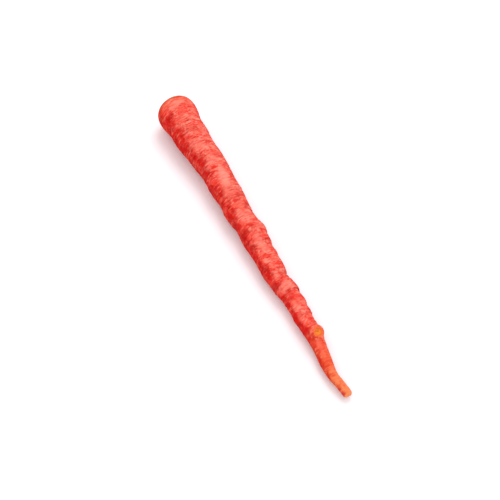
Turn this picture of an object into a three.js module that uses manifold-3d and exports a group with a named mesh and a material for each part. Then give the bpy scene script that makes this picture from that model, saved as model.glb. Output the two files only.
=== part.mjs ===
// A long red carrot, washed, with its leaves trimmed off, lying on its side.
// It grew as one piece, so it is one solid: trimmed crown, shoulder, ringed body, the stub of a snapped side root,
// and a thin tail with a blunt broken tip. Millimetres, +X from crown to tail, +Z up, resting on z = 0.

import * as THREE from "three";
import { mergeVertices } from "three/addons/utils/BufferGeometryUtils.js";
import Module from "manifold-3d";

// ---- driving dimensions ----

const LENGTH = 300; // crown's cut face to the broken tip
const SIDES = 40; // facets round the skin
const STEPS_PER_STATION = 2; // rings between two stations of the skin

// Skin stations, [distance from the crown's cut face, radius]. Each swelling and each waist has one.
const SKIN = [
  [1.0, 9.9],
  [2.4, 12.4],
  [5.5, 14.8],
  [11, 16.0],
  [18, 15.5],
  [27, 14.0],
  [40, 13.9],
  [52, 12.7],
  [64, 12.6],
  [78, 11.5],
  [93, 11.2],
  [104, 10.9],
  [114, 10.2],
  [128, 10.0],
  [144, 9.7],
  [158, 9.3],
  [168, 8.9],
  [182, 9.3],
  [190.5, 8.1],
  [200, 8.25],
  [209, 7.5],
  [216, 7.6],
  [221, 7.0],
  [227, 7.4],
  [233, 6.6],
  [241, 6.6],
  [250, 5.9],
  [257, 5.25],
  [267, 4.85],
  [277, 4.1],
  [288, 3.6],
  [LENGTH - 1.6, 3.45],
];

// The trimmed crown, from the middle outwards: the cut disc, the sunken ring of old leaf bases, and the rim.
const CROWN = [
  [0, 0],
  [0, 5.7],
  [0.5, 6.3],
  [1.9, 6.8],
  [2.1, 8.3],
  [1.3, 9.2],
];

// The broken tip, from the skin inwards. It is slightly hollow in the middle.
const TIP = [
  [LENGTH - 0.4, 2.9],
  [LENGTH, 2.2],
  [LENGTH - 0.3, 0],
];

// How the root's centre line wanders sideways, [distance from the crown, offset towards +Y].
const WANDER = [
  [0, 0.4],
  [40, 0.5],
  [78, 2.7],
  [93, 1.9],
  [108, 2.4],
  [128, 1.6],
  [158, 1.5],
  [182, 1.2],
  [191, 0.9],
  [203, 2.2],
  [217, 3.0],
  [232, 2.2],
  [243, 2.5],
  [252, 1.9],
  [264, 0.4],
  [276, -1.1],
  [283, -1.1],
  [290, 0.2],
  [LENGTH, 1.3],
];

// The centre line falls evenly from the thick end to the thin one. It is low enough for the root's weight to press
// a small flat where the shoulder and the lower swellings touch the surface, and clear of it elsewhere.
const CROWN_HEIGHT = 16.05;
const TAIL_HEIGHT = 4.55;

// Slow unevenness of the section: it is a little oval, and the oval turns along the root.
const OVALITY = 0.02;
const OVAL_TURN_LENGTH = 190;

// The base of the side root that was snapped off, near the tail.
const STUB = {
  distance: 244,
  angle: THREE.MathUtils.degToRad(80), // from +Y towards +Z
  lean: THREE.MathUtils.degToRad(30), // towards the tail
  foot: 6.6, // radius where the swelling leaves the skin
  face: 3.9, // radius of the snapped face
  height: 9.0, // of that face above the centre line
  stretch: 1.08, // it is longer along the root than across it
};

const SKIN_COLOUR = 0xdc3a22;

// ---- curves ----

const wanderCurve = new THREE.CatmullRomCurve3(
  WANDER.map(([distance, side]) => {
    const height = THREE.MathUtils.lerp(CROWN_HEIGHT, TAIL_HEIGHT, distance / LENGTH);
    return new THREE.Vector3(distance, side, height);
  }),
  false,
  "centripetal",
);
const centreSamples = wanderCurve.getPoints(600);

// The centre line's point at a distance from the crown.
function centreAt(distance) {
  const passed = centreSamples.findLastIndex((point) => point.x < distance);
  const next = THREE.MathUtils.clamp(passed + 1, 1, centreSamples.length - 1);
  const from = centreSamples[next - 1];
  const to = centreSamples[next];
  return from.clone().lerp(to, (distance - from.x) / (to.x - from.x));
}

// The half section of the root as [distance, radius] points, from the crown's middle to the tip's middle.
function halfSection() {
  const skin = new THREE.SplineCurve(SKIN.map(([distance, radius]) => new THREE.Vector2(distance, radius)));
  const skinPoints = skin.getPoints((SKIN.length - 1) * STEPS_PER_STATION);
  const ends = (points) => points.map(([distance, radius]) => new THREE.Vector2(distance, radius));
  return [...ends(CROWN), ...skinPoints, ...ends(TIP)];
}

// ---- solids ----

const wasm = await Module();
wasm.setup();

// A three.js geometry as a manifold-3d solid.
function solidOf(geometry) {
  const bare = geometry.clone();
  bare.deleteAttribute("normal");
  bare.deleteAttribute("uv");
  const merged = mergeVertices(bare, 1e-3);
  const mesh = new wasm.Mesh({
    numProp: 3,
    vertProperties: merged.attributes.position.array,
    triVerts: new Uint32Array(merged.index.array),
  });
  return new wasm.Manifold(mesh);
}

// A manifold-3d solid as a three.js geometry.
function geometryOf(solid) {
  const mesh = solid.getMesh();
  const geometry = new THREE.BufferGeometry();
  geometry.setAttribute("position", new THREE.BufferAttribute(mesh.vertProperties, 3));
  geometry.setIndex(new THREE.BufferAttribute(mesh.triVerts, 1));
  geometry.computeVertexNormals();
  return geometry;
}

// Revolves the half section about +X, makes the section a little oval, and bends the root to its centre line.
function rootBody() {
  const outline = halfSection().map((point) => new THREE.Vector2(point.y, point.x));
  const body = new THREE.LatheGeometry(outline, SIDES);
  body.rotateZ(-Math.PI / 2);
  const places = body.attributes.position;
  for (let i = 0; i < places.count; i++) {
    const distance = places.getX(i);
    const angle = Math.atan2(places.getZ(i), places.getY(i));
    const radius = Math.hypot(places.getY(i), places.getZ(i));
    const turn = (Math.PI * distance) / OVAL_TURN_LENGTH;
    const uneven = radius * (1 + OVALITY * Math.cos(2 * angle + turn));
    const centre = centreAt(distance);
    places.setXYZ(i, distance, centre.y + uneven * Math.cos(angle), centre.z + uneven * Math.sin(angle));
  }
  return body;
}

// A round-shouldered knob whose flat top is the snapped face, pointing out of the root.
function sideRootStub() {
  const inside = 2; // its foot starts this far out from the centre line, well under the skin
  const swell = new THREE.SplineCurve([
    new THREE.Vector2(STUB.foot, inside),
    new THREE.Vector2(STUB.foot * 0.95, STUB.height * 0.56),
    new THREE.Vector2(STUB.foot * 0.82, STUB.height * 0.82),
    new THREE.Vector2(STUB.face, STUB.height),
  ]);
  const outline = [new THREE.Vector2(0, inside), ...swell.getPoints(9), new THREE.Vector2(0, STUB.height)];
  const knob = new THREE.LatheGeometry(outline, 28);
  knob.rotateX(Math.PI / 2); // its axis to +Z
  knob.scale(STUB.stretch, 1, 1);
  knob.rotateY(STUB.lean);
  knob.rotateX(STUB.angle - Math.PI / 2);
  const centre = centreAt(STUB.distance);
  knob.translate(centre.x, centre.y, centre.z);
  return knob;
}

// Everything below the surface that the carrot lies on.
function belowTheSurface() {
  const depth = 20;
  const slab = new THREE.BoxGeometry(LENGTH * 1.5, 100, depth);
  slab.translate(LENGTH / 2, 0, -depth / 2);
  return slab;
}

// The whole root, with the flats that it rests on, centred over the origin.
function carrotRoot() {
  const grown = solidOf(rootBody()).add(solidOf(sideRootStub()));
  const resting = geometryOf(grown.subtract(solidOf(belowTheSurface())));
  resting.computeBoundingBox();
  const middle = resting.boundingBox.getCenter(new THREE.Vector3());
  resting.translate(-middle.x, -middle.y, 0);
  const material = new THREE.MeshStandardMaterial({ color: SKIN_COLOUR, roughness: 0.45, metalness: 0 });
  const mesh = new THREE.Mesh(resting, material);
  mesh.name = "carrot_root";
  return mesh;
}

const carrot = new THREE.Group();
carrot.add(carrotRoot());

export default carrot;
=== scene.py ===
"""A long red carrot on a pale floor: wrinkled skin, trimmed crown, snapped side root and broken tail."""

from __future__ import annotations

import logging
import math
from dataclasses import dataclass, field
from enum import Enum
from typing import Any, Union

import bpy
import numpy as np
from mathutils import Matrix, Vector, noise
from mathutils.bvhtree import BVHTree


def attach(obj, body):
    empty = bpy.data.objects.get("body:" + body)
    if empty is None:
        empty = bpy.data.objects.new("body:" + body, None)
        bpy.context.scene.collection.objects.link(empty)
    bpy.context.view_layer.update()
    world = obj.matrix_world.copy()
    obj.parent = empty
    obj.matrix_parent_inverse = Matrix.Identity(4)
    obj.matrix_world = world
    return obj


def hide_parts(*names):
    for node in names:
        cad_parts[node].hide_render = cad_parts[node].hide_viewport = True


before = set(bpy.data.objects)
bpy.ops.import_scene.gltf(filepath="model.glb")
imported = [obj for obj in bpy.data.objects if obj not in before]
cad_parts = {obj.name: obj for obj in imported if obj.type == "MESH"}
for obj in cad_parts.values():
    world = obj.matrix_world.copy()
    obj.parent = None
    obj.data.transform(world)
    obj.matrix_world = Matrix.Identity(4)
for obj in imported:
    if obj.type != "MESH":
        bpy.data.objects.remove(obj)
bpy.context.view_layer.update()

LOG = logging.getLogger("carrot")
MM = 0.001
TURN = 2 * math.pi

Numbers = np.ndarray
Colour = tuple[float, float, float, float]
Triple = tuple[float, float, float]
Socket = bpy.types.NodeSocket


# ---------------------------------------------------------------- shared helpers


def smoothstep(values: Numbers, low: float, high: float) -> Numbers:
    """Rises smoothly from 0 at low to 1 at high.

    Args:
        values: The numbers to ease.
        low: Where the rise starts.
        high: Where the rise ends. It may be below low, for a fall.

    Returns:
        The eased numbers, from 0 to 1.
    """
    share = np.clip((values - low) / (high - low), 0, 1)
    return share * share * (3 - 2 * share)


def hill(values: Numbers, middle: float, width: float) -> Numbers:
    """A bell of height 1 over the middle, which falls to 0.37 a width away on either side."""
    return np.exp(-(((values - middle) / width) ** 2))


def wrapped(angles: Numbers) -> Numbers:
    """Angles brought between minus and plus half a turn."""
    return (angles + math.pi) % TURN - math.pi


def through_points(places: Numbers, known_at: Numbers, known: Numbers) -> Numbers:
    """A smooth curve through known points.

    Args:
        places: Where the curve is wanted.
        known_at: Where it is known, in rising order.
        known: Its values there.

    Returns:
        Its values at places.
    """
    slopes = np.gradient(known, known_at)
    after = np.clip(np.searchsorted(known_at, places), 1, len(known_at) - 1)
    before = after - 1
    gap = known_at[after] - known_at[before]
    share = np.clip((places - known_at[before]) / gap, 0, 1)
    square, cube = share**2, share**3
    return (
        (2 * cube - 3 * square + 1) * known[before]
        + (cube - 2 * square + share) * gap * slopes[before]
        + (3 * square - 2 * cube) * known[after]
        + (cube - square) * gap * slopes[after]
    )


def deselect_everything() -> None:
    """Leaves object mode with nothing selected, so that an operator acts only on what is picked next."""
    if bpy.context.object and bpy.context.object.mode != "OBJECT":
        bpy.ops.object.mode_set(mode="OBJECT")
    bpy.ops.object.select_all(action="DESELECT")


# ---------------------------------------------------------------- the grown form


@dataclass
class GrownForm:
    """The line and girth of the root, read from its solid.

    The solid's skin is a row of rings, each in a plane across +X. Distances run from the crown's cut face.
    """

    solid: bpy.types.Object
    rim_radius: float = 9.5 * MM
    crown_depth: float = 3 * MM
    tip_depth: float = 1 * MM
    ring_points: int = 24
    far_out: float = 50 * MM
    face_lean: float = 0.5

    def __post_init__(self) -> None:
        """Reads the rings and prepares the solid for measuring."""
        mesh = self.solid.data
        corners = np.array([v.co for v in mesh.vertices])
        faces = [tuple(p.vertices) for p in mesh.polygons]
        self.surface = BVHTree.FromPolygons([tuple(c) for c in corners], faces)
        self.start = float(corners[:, 0].min())
        self.length = float(corners[:, 0].max()) - self.start
        rings = sorted(self._rings(corners))
        self.ring_at, self.ring_y, self.ring_z, self.ring_radius = np.array(rings).T

    def _rings(self, corners: Numbers) -> list[tuple[float, float, float, float]]:
        """Finds the rings of the skin, without those of the crown's dish and the tip.

        Args:
            corners: The solid's corners as rows of x, y and z.

        Returns:
            Each ring as (distance, centre y, centre z, radius).
        """
        found = []
        micrometres = np.round((corners[:, 0] - self.start) * 1e6).astype(int)
        for place in np.unique(micrometres):
            points = np.unique(np.round(corners[micrometres == place, 1:], 7), axis=0)
            if len(points) < self.ring_points:
                continue
            y, z, radius = self._circle(points)
            distance = place * 1e-6
            if distance > self.crown_depth or radius > self.rim_radius:
                found.append((distance, y, z, radius))
        return [ring for ring in found if ring[0] < self.length - self.tip_depth]

    @staticmethod
    def _circle(points: Numbers) -> tuple[float, float, float]:
        """Fits a circle to points.

        Args:
            points: Rows of y and z.

        Returns:
            The circle as (centre y, centre z, radius).
        """
        table = np.column_stack([2 * points, np.ones(len(points))])
        y, z, rest = np.linalg.lstsq(table, (points**2).sum(axis=1), rcond=None)[0]
        return float(y), float(z), math.sqrt(rest + y * y + z * z)

    def centre(self, distances: Numbers) -> tuple[Numbers, Numbers]:
        """The centre line's y and z at distances from the crown."""
        line = (self.ring_y, self.ring_z)
        return tuple(through_points(distances, self.ring_at, known) for known in line)

    def skin_stations(self, step: float) -> Numbers:
        """Evenly spaced stations along the skin.

        Args:
            step: The way between two stations, measured along the skin.

        Returns:
            Rows of distance and radius, from the shoulder's rim to the tail.
        """
        moves = np.hypot(np.diff(self.ring_at), np.diff(self.ring_radius))
        walked = np.concatenate([[0], np.cumsum(moves)])
        count = int(walked[-1] / step) + 1
        wanted = np.linspace(0, walked[-1], count)
        along = through_points(wanted, walked, self.ring_at)
        girth = through_points(wanted, walked, self.ring_radius)
        return np.column_stack([along, girth])

    def reach(self, distance: float, angle: float) -> float:
        """How far the solid's surface is from its centre line.

        Args:
            distance: How far from the crown to measure.
            angle: Which way to measure, from +Y towards +Z.

        Returns:
            The way from the centre line to the surface, or 0 where there is none.
        """
        y, z = self.centre(np.array([distance]))
        way = Vector((0, math.cos(angle), math.sin(angle)))
        far = Vector((self.start + distance, y[0], z[0])) + way * self.far_out
        hit = self.surface.ray_cast(far, -way)
        return self.far_out - hit[3] if hit[0] is not None else 0.0

    def snapped_face(self) -> tuple[Vector, Vector, float]:
        """Finds the side root's snapped face on the solid: the largest flat that looks up.

        Returns:
            The face's middle, its outward normal and its mean radius.
        """
        areas: dict[tuple, float] = {}
        members: dict[tuple, list] = {}
        for face in self.solid.data.polygons:
            if face.normal.z < self.face_lean:
                continue
            key = tuple(round(n, 3) for n in face.normal)
            areas[key] = areas.get(key, 0) + face.area
            members.setdefault(key, []).append(face)
        largest = max(areas, key=areas.get)
        flat = members[largest]
        middle = sum((f.center * f.area for f in flat), Vector()) / areas[largest]
        return middle, flat[0].normal.copy(), math.sqrt(areas[largest] / math.pi)


# ---------------------------------------------------------------- skin detail


@dataclass
class SkinMap:
    """Where each point of the skin lies on the root, how far it is to be raised, and its masks.

    Distances run from the crown's cut face, angles from +Y towards +Z, and reach from the centre line out.
    """

    form: GrownForm
    points: Numbers
    height: Numbers = field(init=False)
    marks: dict[str, Numbers] = field(init=False)

    def __post_init__(self) -> None:
        """Works out each point's distance, angle and reach."""
        self.distance = self.points[:, 0] - self.form.start
        y, z = self.form.centre(self.distance)
        self.centre = np.column_stack([self.points[:, 0], y, z])
        across = self.points - self.centre
        self.angle = np.arctan2(across[:, 2], across[:, 1])
        self.reach = np.hypot(across[:, 1], across[:, 2])
        self.height = np.zeros(len(self.points))
        self.marks = {}
        self.order = np.argsort(self.distance)
        self.sorted_distance = self.distance[self.order]

    def near(self, distance: float, span: float) -> Numbers:
        """The numbers of the points whose distance is within a span of the given one."""
        low, high = np.searchsorted(self.sorted_distance, [distance - span, distance + span])
        return self.order[low:high]

    def mark(self, name: str) -> Numbers:
        """The mask of that name, made empty on first use."""
        return self.marks.setdefault(name, np.zeros(len(self.points)))

    def raise_mark(self, name: str, where: Numbers, amount: Numbers) -> None:
        """Raises a mask at some points to at least an amount."""
        mask = self.mark(name)
        mask[where] = np.maximum(mask[where], amount)


class LineKind(Enum):
    """What a short line across the skin is."""

    CREASE = "crease"
    SCAR = "scar"


@dataclass(frozen=True)
class SkinLine:
    """A short line that runs part of the way round the root.

    A crease is a groove between two soft lips. A scar is a pale, slightly raised dash. The lips' height is a
    share of the depth, and their gap and the line's whole span are in widths.
    """

    kind: LineKind
    distance: float
    angle: float
    half_length: float
    width: float
    depth: float
    waver: float = 0.0
    phase: float = 0.0
    slant: float = 0.0
    waver_length: float = 4 * MM
    lip_height: float = 0.4
    lip_gap: float = 2.0
    span: float = 6.0
    bluntness: float = 0.8

    def press(self, skin: SkinMap, strength: float) -> None:
        """Puts the line on the skin.

        Args:
            skin: The skin to shape and mark.
            strength: How strongly it shows in the mask of its kind, from 0 to 1.
        """
        drift = self.waver + abs(self.slant) * self.half_length
        where = skin.near(self.distance, self.span * self.width + drift)
        offset = wrapped(skin.angle[where] - self.angle) * skin.reach[where]
        inside = np.abs(offset) < self.half_length
        where, offset = where[inside], offset[inside]
        taper = np.cos(offset / self.half_length * math.pi / 2) ** self.bluntness
        wave = self.waver * np.sin(offset / self.waver_length + self.phase)
        path = self.distance + self.slant * offset + wave
        away = np.abs(skin.distance[where] - path)
        core = np.exp(-((away / self.width) ** 2)) * taper
        # A crease's mask paints shade into its groove, and its lips' mask a pale highlight.
        if self.kind is LineKind.CREASE:
            lips = hill(away, self.lip_gap * self.width, self.width) * taper
            skin.height[where] += self.depth * (self.lip_height * lips - core)
            skin.raise_mark("ridge", where, lips * strength)
        else:
            skin.height[where] += self.depth * core
        skin.raise_mark(self.kind.value, where, core * strength)


@dataclass(frozen=True)
class GrowthStep:
    """A ring where the skin ends in a lip and starts again a little lower, as if slid one into the next.

    The girth drops just after the step and comes back over the recovery length. The skin just before it is
    swollen by a share of the drop. A step of the full drop or more is marked at full strength.
    """

    distance: float
    angle: float
    half_angle: float
    drop: float
    recovery: float
    waver: float
    phase: float
    front_from: float = -0.35 * MM
    front_to: float = 0.55 * MM
    swollen_share: float = 0.35
    full_drop: float = 0.45 * MM
    crease_strength: float = 0.5

    def press(self, skin: SkinMap) -> None:
        """Shapes the step and marks its lip for a painted highlight and the line under it for painted shade.

        Args:
            skin: The skin to shape and mark.
        """
        where = skin.near(self.distance, 4 * self.recovery + self.waver)
        offset = wrapped(skin.angle[where] - self.angle)
        share = np.exp(-((offset / self.half_angle) ** 4))
        front = self.distance + self.waver * np.sin(2 * offset + self.phase)
        past = skin.distance[where] - front
        over = smoothstep(past, self.front_from, self.front_to)
        fallen = over * np.exp(-np.maximum(past, 0) / self.recovery)
        swollen = np.exp(-np.maximum(-past, 0) / (0.6 * self.recovery)) * (1 - over)
        skin.height[where] += self.drop * share * (self.swollen_share * swollen - fallen)
        seen = share * min(1.0, self.drop / self.full_drop)
        skin.raise_mark("crease", where, self.crease_strength * seen * hill(past, 0.6 * MM, 0.5 * MM))
        skin.raise_mark("ridge", where, seen * hill(past, -0.8 * MM, 0.9 * MM))


class PatchKind(Enum):
    """What a patch of skin looks like."""

    DRY = "dry_sheen"
    FRESH = "fresh_and_shade"
    STAIN = "stain"


@dataclass(frozen=True)
class SkinPatch:
    """A soft-edged patch of skin: dry ones are pale and smooth, partly as a painted highlight; fresh ones are
    deep red, partly as painted shade; stains are dark brown.

    The mask falls from its strength to nothing between two multiples of the patch's half size.
    """

    kind: PatchKind
    distance: float
    angle: float
    half_length: float
    half_angle: float
    strength: float
    full_within: float = 0.35
    gone_beyond: float = 1.45
    waver: float = 0.25
    waves_round: int = 5

    def press(self, skin: SkinMap) -> None:
        """Marks the patch, with an outline that wavers.

        Args:
            skin: The skin to mark.
        """
        waver = self.waver * np.sin(self.waves_round * skin.angle + self.distance / (2 * MM))
        along = (skin.distance - self.distance) / self.half_length + waver
        around = wrapped(skin.angle - self.angle) / self.half_angle
        share = self.strength * smoothstep(np.hypot(along, around), self.gone_beyond, self.full_within)
        skin.raise_mark(self.kind.value, np.arange(len(share)), share)


@dataclass
class Wrinkles:
    """The steps, creases, scars and patches that cover the skin, the small ones drawn from one seeded hand.

    Stretches of the root are given in millimetres from the crown.
    """

    length: float
    seed: int = 11
    first_ring: float = 7 * MM
    bare_tail: float = 8 * MM
    small_steps: tuple[float, float] = (16, 240)
    step_waver: float = 0.5 * MM
    ribbed: tuple[float, float] = (14, 130)
    rib_clusters: int = 34
    scarred: tuple[float, float] = (9, 297)
    scar_count: int = 300

    # Calm skin, where creases are left out: the girth and size of the patches that drift over the root, and
    # the middle and half sizes of the large one.
    calm_girth: float = 10 * MM
    calm_drift: float = 11 * MM
    calm_distance: float = 94 * MM
    calm_half_length: float = 10 * MM
    calm_angle: float = 1.4
    calm_half_angle: float = 0.5

    # How crowded the wrinkles are, from 0 to 1, at distances in millimetres.
    crowding_steps: tuple[tuple[float, float], ...] = (
        (0, 0.1),
        (7, 0.4),
        (14, 1.0),
        (125, 0.45),
        (195, 0.3),
        (240, 0.16),
        (258, 0.04),
        (300, 0.02),
    )

    # The large steps: distance, drop and recovery in millimetres, then the middle and half of their arc.
    large_steps: tuple[tuple[float, float, float, float, float], ...] = (
        (41.0, 0.5, 5.0, 1.5, 1.5),
        (54.0, 0.4, 4.5, 1.6, 1.2),
        (188.6, 0.5, 3.0, 0.5, 0.9),
        (192.5, 0.25, 3.0, 1.7, 1.2),
        (206.4, 0.8, 5.5, 1.35, 1.75),
        (218.5, 0.3, 3.5, 0.9, 1.1),
        (228.5, 0.3, 3.0, 1.3, 1.5),
    )

    # Patches of skin: kind, distance in millimetres, angle, half length in millimetres, half angle, strength.
    patches: tuple[tuple[PatchKind, float, float, float, float, float], ...] = (
        # The dry patches sit near the side that faces the lamp; their paleness is partly a painted highlight.
        (PatchKind.DRY, 13.0, 1.8, 4.0, 0.5, 0.45),
        (PatchKind.DRY, 57.0, 1.85, 6.5, 0.45, 0.7),
        (PatchKind.DRY, 74.0, 1.6, 4.0, 0.4, 0.4),
        (PatchKind.DRY, 92.5, 1.5, 10.0, 0.42, 1.0),
        (PatchKind.DRY, 108.0, 1.75, 5.5, 0.4, 0.6),
        (PatchKind.DRY, 134.0, 1.65, 7.0, 0.5, 0.7),
        (PatchKind.DRY, 161.0, 1.6, 8.0, 0.45, 0.7),
        (PatchKind.DRY, 202.5, 1.8, 4.2, 0.9, 0.7),
        (PatchKind.DRY, 222.0, 2.0, 3.5, 0.5, 0.55),
        (PatchKind.DRY, 232.0, 2.1, 3.5, 0.45, 0.6),
        (PatchKind.DRY, 258.0, 1.8, 7.0, 0.35, 0.25),
        # Fresh patches are deep red: partly the skin's own colour, partly painted shade on the flank away
        # from the lamp and beside the side root's mound.
        (PatchKind.FRESH, 26.0, 2.75, 8.0, 0.45, 0.8),
        (PatchKind.FRESH, 46.0, 2.6, 5.5, 0.5, 0.7),
        (PatchKind.FRESH, 98.0, 2.7, 7.0, 0.4, 0.6),
        (PatchKind.FRESH, 184.0, 2.6, 5.0, 0.5, 0.7),
        (PatchKind.FRESH, 211.0, 1.95, 4.2, 0.9, 0.75),
        (PatchKind.FRESH, 241.0, 2.4, 5.5, 0.55, 0.95),
        (PatchKind.FRESH, 236.0, 1.0, 3.5, 0.45, 0.5),
        (PatchKind.STAIN, 1.0, 1.25, 1.3, 0.15, 0.9),
        (PatchKind.STAIN, 3.5, -0.9, 2.0, 0.12, 0.7),
        (PatchKind.STAIN, 2.0, 2.9, 1.2, 0.2, 0.6),
    )

    def __post_init__(self) -> None:
        """Starts the hand that draws the lines."""
        self.hand = np.random.default_rng(self.seed)

    def crowding(self, distance: float) -> float:
        """How crowded the wrinkles are at a distance from the crown, from 0 to 1."""
        places, crowds = zip(*self.crowding_steps)
        return float(np.interp(distance / MM, places, crowds))

    def steps(self) -> list[GrowthStep]:
        """The large steps, then smaller ones all along the root."""
        found = []
        for place, drop, recovery, angle, half_angle in self.large_steps:
            found.append(
                GrowthStep(
                    distance=place * MM,
                    angle=angle,
                    half_angle=half_angle,
                    drop=drop * MM,
                    recovery=recovery * MM,
                    waver=self.step_waver,
                    phase=place,
                )
            )
        distance, end = (place * MM for place in self.small_steps)
        while distance < end:
            found.append(
                GrowthStep(
                    distance=distance,
                    angle=self.hand.uniform(-math.pi, math.pi),
                    half_angle=self.hand.uniform(0.5, 1.7),
                    drop=self.hand.uniform(0.08, 0.34) * MM,
                    recovery=self.hand.uniform(1.6, 4.5) * MM,
                    waver=self.hand.uniform(0.2, 0.9) * MM,
                    phase=self.hand.uniform(0, TURN),
                )
            )
            distance += self.hand.uniform(1.6, 5.5) * MM
        return found

    def ring_lines(self) -> list[SkinLine]:
        """Broken rings: each is a row of creases that nearly meet, close behind the ring before."""
        lines = []
        distance = self.first_ring
        while distance < self.length - self.bare_tail:
            crowd = self.crowding(distance)
            for _ in range(self.hand.integers(9, 14)):
                if self.hand.random() > crowd:
                    continue
                size = self.hand.uniform(0.35, 1)
                lines.append(
                    SkinLine(
                        kind=LineKind.CREASE,
                        distance=distance + self.hand.normal(0, 0.6) * MM,
                        angle=self.hand.uniform(-math.pi, math.pi),
                        half_length=(1.2 + 5.2 * size * self.hand.random()) * MM,
                        width=(0.26 + 0.2 * size) * MM,
                        depth=0.36 * size * MM,
                        waver=self.hand.uniform(0.1, 0.5) * MM,
                        phase=self.hand.uniform(0, TURN),
                        slant=self.hand.normal(0, 0.06),
                    )
                )
            distance += self.hand.uniform(1.6, 2.6) * MM / (0.4 + 0.6 * crowd)
        return lines

    def press_patches(self, skin: SkinMap) -> None:
        """Marks the dry, fresh and stained patches."""
        for kind, distance, angle, half_length, half_angle, strength in self.patches:
            SkinPatch(kind, distance * MM, angle, half_length * MM, half_angle, strength).press(skin)

    def calm(self, line: SkinLine) -> float:
        """How calm the skin is where a line lies.

        Args:
            line: The line, for its distance and angle.

        Returns:
            A share from 0 to 1. A line on quite calm skin is left out.
        """
        across = self.calm_girth * math.cos(line.angle), self.calm_girth * math.sin(line.angle)
        place = Vector((line.distance, *across)) / self.calm_drift
        drift = float(smoothstep(np.array(noise.noise(place)), 0.02, 0.38))
        along = (line.distance - self.calm_distance) / self.calm_half_length
        around = float(wrapped(line.angle - self.calm_angle)) / self.calm_half_angle
        from_patch = np.array(math.hypot(along, around))
        return max(drift, 1 - float(smoothstep(from_patch, 0.6, 1.2)))

    def ribs(self) -> list[SkinLine]:
        """Clusters of deep creases side by side, which leave raised ribs between them."""
        lines = []
        for _ in range(self.rib_clusters):
            distance = self.hand.uniform(*self.ribbed) * MM
            angle = self.hand.uniform(-math.pi, math.pi)
            half_length = self.hand.uniform(2.5, 6) * MM
            for _ in range(self.hand.integers(3, 8)):
                lines.append(
                    SkinLine(
                        kind=LineKind.CREASE,
                        distance=distance,
                        angle=angle + self.hand.normal(0, 0.12),
                        half_length=half_length * self.hand.uniform(0.7, 1.1),
                        width=self.hand.uniform(0.4, 0.55) * MM,
                        depth=self.hand.uniform(0.3, 0.5) * MM,
                        waver=self.hand.uniform(0.05, 0.25) * MM,
                        phase=self.hand.uniform(0, TURN),
                        slant=self.hand.normal(0, 0.03),
                    )
                )
                distance += self.hand.uniform(2.1, 2.9) * MM
        return lines

    def scars(self) -> list[SkinLine]:
        """Pale raised dashes scattered over the skin."""
        lines = []
        while len(lines) < self.scar_count:
            distance = self.hand.uniform(*self.scarred) * MM
            if self.hand.random() > 0.3 + 0.7 * self.crowding(distance):
                continue
            size = self.hand.random() ** 2
            lines.append(
                SkinLine(
                    kind=LineKind.SCAR,
                    distance=distance,
                    angle=self.hand.uniform(-math.pi, math.pi),
                    half_length=(0.8 + 2.6 * size) * MM,
                    width=(0.3 + 0.3 * size) * MM,
                    depth=(0.04 + 0.12 * size) * MM,
                    slant=self.hand.normal(0, 0.05),
                )
            )
        return lines

    def press_all(self, skin: SkinMap) -> int:
        """Presses every step and line into the skin, and marks the patches.

        Args:
            skin: The skin to shape and mark.

        Returns:
            How many steps and lines there are.
        """
        steps = self.steps()
        for step in steps:
            step.press(skin)
        creases = self.ring_lines() + self.ribs()
        lines = [line for line in creases if self.hand.random() > self.calm(line)]
        lines += self.scars()
        for line in lines:
            line.press(skin, self.hand.uniform(0.4, 1))
        self.press_patches(skin)
        return len(steps) + len(lines)


@dataclass(frozen=True)
class LeafBase:
    """The stump of one leaf stalk in the crown's sunken ring: a crescent with a dry cut top."""

    angle: float
    radius: float
    half_width: float
    thickness: float
    height: float
    curl: float = 0.09

    def press(self, skin: SkinMap, near_crown: Numbers) -> None:
        """Raises the crescent and marks its cut top.

        Args:
            skin: The skin to shape and mark.
            near_crown: The mask of the crown's end of the root.
        """
        offset = wrapped(skin.angle - self.angle) * self.radius
        arc = skin.reach - self.radius + self.curl * offset**2 / self.half_width
        share = near_crown * smoothstep(np.abs(offset), self.half_width, 0.7 * self.half_width)
        share *= smoothstep(np.abs(arc), self.thickness, 0.45 * self.thickness)
        skin.height += self.height * share
        skin.raise_mark("leaf", np.arange(len(share)), smoothstep(share, 0.45, 0.95))


@dataclass(frozen=True)
class Crumple:
    """Skin that has dried into flat cells, in patches.

    Along and around are a cell's sizes, and depth is that of the valleys between cells. The cells come in
    over the first stretch of distances and grow faint over the second, down to a last share. Dry patches
    stay smooth. The marking is how strongly valleys and tops show in the masks.
    """

    along: float
    around: float
    patch: float
    depth: float
    starts: tuple[float, float]
    fades: tuple[float, float]
    marking: float
    last_share: float = 0.2
    warp: float = 0.5
    seed: int = 4

    def press(self, skin: SkinMap) -> None:
        """Presses the valleys between the cells and marks valleys and tops.

        Args:
            skin: The skin to shape and mark.
        """
        noise.seed_set(self.seed)  # without it the cells' warp follows the clock
        gaps = np.zeros(len(skin.points))
        patches = np.zeros(len(skin.points))
        for number, point in enumerate(skin.points):
            place = Vector((point[0] / self.along, point[1] / self.around, point[2] / self.around))
            near = noise.voronoi(place + self.warp * noise.noise_vector(0.8 * place))[0]
            gaps[number] = near[1] - near[0]
            patches[number] = noise.noise(Vector(point) / self.patch)
        valley = 1 - smoothstep(gaps, 0.02, 0.3)
        share = 0.3 + 0.7 * smoothstep(patches, -0.25, 0.3)
        faded = (1 - self.last_share) * smoothstep(skin.distance, *self.fades)
        share *= smoothstep(skin.distance, *self.starts) * (1 - faded)
        share *= 1 - 0.9 * skin.mark("dry_sheen")
        everywhere = np.arange(len(skin.points))
        skin.height -= self.depth * valley * share
        # The valleys' mask paints shade into them, and the tops' mask a pale highlight.
        skin.raise_mark("crease", everywhere, self.marking * valley * share)
        skin.raise_mark("ridge", everywhere, self.marking * smoothstep(gaps, 0.3, 0.6) * share)


# ---------------------------------------------------------------- the carrot's mesh


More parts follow.
